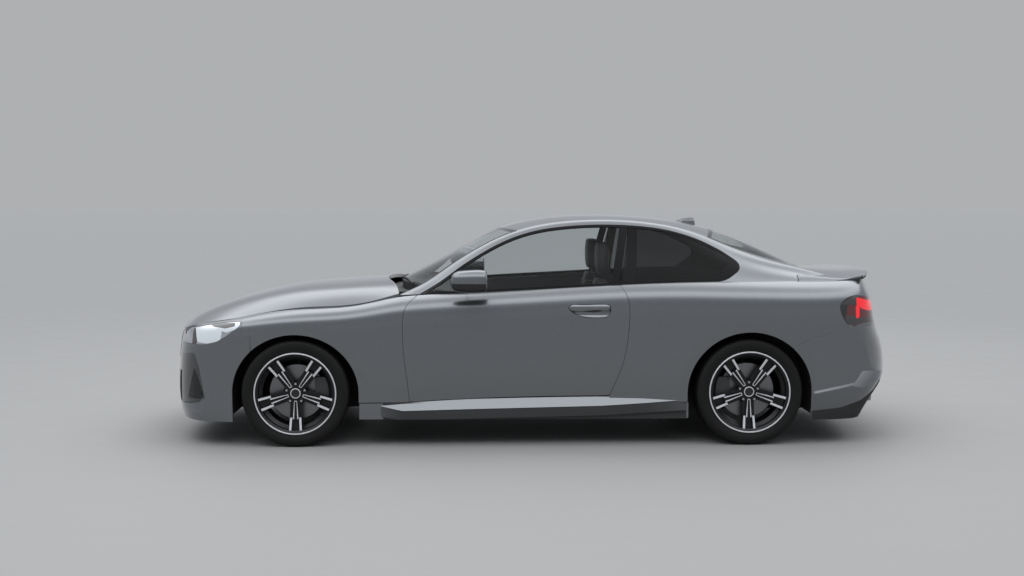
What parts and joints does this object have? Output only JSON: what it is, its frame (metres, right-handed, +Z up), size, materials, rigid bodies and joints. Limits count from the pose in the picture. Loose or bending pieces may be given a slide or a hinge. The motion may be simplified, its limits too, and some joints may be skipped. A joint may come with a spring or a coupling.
{
  "type": "coupe car",
  "caption": "Two-door coupe car with opening doors, hood and boot lid, steering front wheels and free-turning wheels.",
  "frame": {"origin": "on the ground, at mid-length, in the centre plane", "axes": "the car faces -X, its left side is at -Y, +Z is up"},
  "size_m": [4.5389, 2.0718, 1.3902],
  "materials": {
    "black_alloy": "gloss black alloy with machined edges",
    "tyre_rubber": "matt",
    "cast_parts": "cast",
    "chassis_black": "satin black",
    "underbody": "satin",
    "cabin_trim": "matt",
    "cabin_leather": "satin",
    "exhaust_steel": "brushed",
    "grey_paint": "metallic grey lacquer",
    "gloss_black": "gloss",
    "lamp_clear": "clear",
    "lamp_red": "gloss",
    "clear_glass": "clear",
    "dark_glass": "privacy tint"
  },
  "bodies": {
    "body": {"rear_knuckles": "cast_parts", "front_axle": "chassis_black", "rear_axle": "chassis_black", "struts": "chassis_black", "floor_pan": "underbody", "arch_liners": "underbody", "cowl_and_bulkhead": "underbody", "parcel_shelf": "cabin_trim", "dashboard": "cabin_trim", "steering_wheel": "cabin_leather", "front_seats": "cabin_leather", "rear_bench": "cabin_leather", "engine_block": "cast_parts", "exhaust": "exhaust_steel", "front_bumper": "grey_paint", "rear_bumper": "grey_paint", "left_fender": "grey_paint", "right_fender": "grey_paint", "left_side_frame": "grey_paint", "right_side_frame": "grey_paint", "roof_panel": "grey_paint", "roof_aerial": "grey_paint", "wipers": "gloss_black", "grille": "gloss_black", "headlamps": "lamp_clear", "tail_lamps": "lamp_red", "windscreen": "clear_glass", "rear_window": "clear_glass", "quarter_glasses": "dark_glass"},
    "left_door_body": {"left_door": "grey_paint", "left_door_glass": "clear_glass", "left_mirror": "grey_paint"},
    "right_door_body": {"right_door": "grey_paint", "right_door_glass": "clear_glass", "right_mirror": "grey_paint"},
    "hood_body": {"hood": "grey_paint"},
    "boot_lid_body": {"boot_lid": "grey_paint"},
    "steer_left_body": {"front_left_knuckle": "cast_parts"},
    "steer_right_body": {"front_right_knuckle": "cast_parts"},
    "wheel_fl_body": {"wheel_fl": "black_alloy", "tyre_fl": "tyre_rubber"},
    "wheel_fr_body": {"wheel_fr": "black_alloy", "tyre_fr": "tyre_rubber"},
    "wheel_rl_body": {"wheel_rl": "black_alloy", "tyre_rl": "tyre_rubber"},
    "wheel_rr_body": {"wheel_rr": "black_alloy", "tyre_rr": "tyre_rubber"}
  },
  "joints": [
    {"name": "left_door_hinge", "type": "hinge", "parent": "body", "child": "left_door_body", "pos_m": [-0.7, -0.838, 0.57], "axis": [0, 0.0349, 0.9994], "range_deg": [-68, 0]},
    {"name": "right_door_hinge", "type": "hinge", "parent": "body", "child": "right_door_body", "pos_m": [-0.7, 0.838, 0.57], "axis": [0, -0.0349, 0.9994], "range_deg": [0, 68]},
    {"name": "hood_hinge", "type": "hinge", "parent": "body", "child": "hood_body", "pos_m": [-0.79, 0, 0.893], "axis": [0, 1, 0], "range_deg": [0, 42]},
    {"name": "boot_lid_hinge", "type": "hinge", "parent": "body", "child": "boot_lid_body", "pos_m": [1.48, 0, 1.01], "axis": [0, -1, 0], "range_deg": [0, 70]},
    {"name": "steer_left", "type": "hinge", "parent": "body", "child": "steer_left_body", "pos_m": [-1.4425, -0.69489, 0.322], "axis": [0, 0.2169, 0.9762], "range_deg": [-36, 36]},
    {"name": "steer_right", "type": "hinge", "parent": "body", "child": "steer_right_body", "pos_m": [-1.4425, 0.69489, 0.322], "axis": [0, -0.2169, 0.9762], "range_deg": [-36, 36]},
    {"name": "wheel_fl_spin", "type": "hinge", "parent": "steer_left_body", "child": "wheel_fl_body", "pos_m": [-1.4425, -0.79, 0.322], "axis": [0, 1, 0], "continuous": true},
    {"name": "wheel_fr_spin", "type": "hinge", "parent": "steer_right_body", "child": "wheel_fr_body", "pos_m": [-1.4425, 0.79, 0.322], "axis": [0, 1, 0], "continuous": true},
    {"name": "wheel_rl_spin", "type": "hinge", "parent": "body", "child": "wheel_rl_body", "pos_m": [1.2985, -0.79, 0.322], "axis": [0, 1, 0], "continuous": true},
    {"name": "wheel_rr_spin", "type": "hinge", "parent": "body", "child": "wheel_rr_body", "pos_m": [1.2985, 0.79, 0.322], "axis": [0, 1, 0], "continuous": true}
  ],
  "couplings": [
    {"joint": "steer_right", "follows": "steer_left", "ratio": 1}
  ]
}
